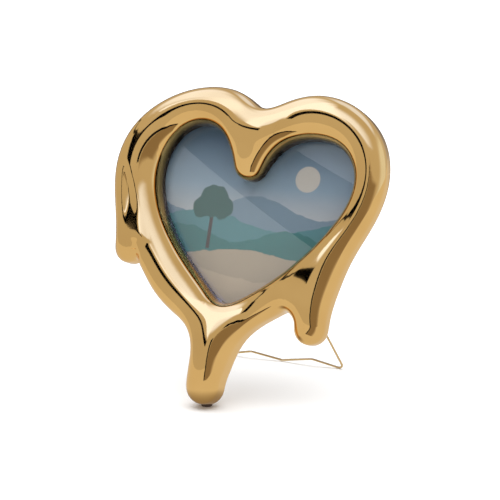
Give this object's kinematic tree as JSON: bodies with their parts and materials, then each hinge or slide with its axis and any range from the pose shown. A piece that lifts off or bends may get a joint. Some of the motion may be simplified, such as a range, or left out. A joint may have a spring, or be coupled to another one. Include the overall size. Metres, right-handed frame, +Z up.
{
  "type": "photo frame",
  "caption": "Table photo frame shaped as a melting gold heart, with drips off its edge, a glazed heart window and a folding wire stand behind.",
  "frame": {"origin": "middle of the lower face of the pad under the lowest drip, on the table", "axes": "+Z up, -Y towards the viewer of the picture, +X to the viewer's right; the frame leans back by 20 degrees about X, and the stand is open"},
  "size_m": [0.2, 0.1387, 0.2117],
  "materials": {
    "gold_resin": "polished",
    "dark_rubber": "matte",
    "clear_glass": "polished",
    "print_paper": "satin",
    "grey_card": "matte",
    "black_board": "matte",
    "plated_steel": "satin",
    "gold_wire": "polished"
  },
  "bodies": {
    "frame": {"frame_body": "gold_resin", "foot_pad": "dark_rubber", "glazing": "clear_glass", "photo_print": "print_paper", "filler_card": "grey_card", "back_board": "black_board", "stand_bracket": "plated_steel", "bracket_rivets": "plated_steel", "button_screws": "plated_steel"},
    "stand": {"wire_stand": "gold_wire"},
    "button_1": {"turn_button_1": "plated_steel"},
    "button_2": {"turn_button_2": "plated_steel"},
    "button_3": {"turn_button_3": "plated_steel"},
    "button_4": {"turn_button_4": "plated_steel"},
    "button_5": {"turn_button_5": "plated_steel"},
    "button_6": {"turn_button_6": "plated_steel"}
  },
  "joints": [
    {"name": "stand_hinge", "type": "hinge", "parent": "frame", "child": "stand", "pos_m": [0.003, 0.05656, 0.12707], "axis": [1, 0, 0], "range_deg": [-47.06, 0]},
    {"name": "button_1_turn", "type": "hinge", "parent": "frame", "child": "button_1", "pos_m": [-0.06776, 0.06327, 0.15839], "axis": [0, 0.9397, -0.342], "continuous": true},
    {"name": "button_2_turn", "type": "hinge", "parent": "frame", "child": "button_2", "pos_m": [-0.03187, 0.07452, 0.18929], "axis": [0, 0.9397, -0.342], "continuous": true},
    {"name": "button_3_turn", "type": "hinge", "parent": "frame", "child": "button_3", "pos_m": [0.05989, 0.07222, 0.18297], "axis": [0, 0.9397, -0.342], "continuous": true},
    {"name": "button_4_turn", "type": "hinge", "parent": "frame", "child": "button_4", "pos_m": [0.09486, 0.06164, 0.1539], "axis": [0, 0.9397, -0.342], "continuous": true},
    {"name": "button_5_turn", "type": "hinge", "parent": "frame", "child": "button_5", "pos_m": [0.01815, 0.02685, 0.05831], "axis": [0, 0.9397, -0.342], "continuous": true},
    {"name": "button_6_turn", "type": "hinge", "parent": "frame", "child": "button_6", "pos_m": [-0.01191, 0.02775, 0.06078], "axis": [0, 0.9397, -0.342], "continuous": true}
  ]
}
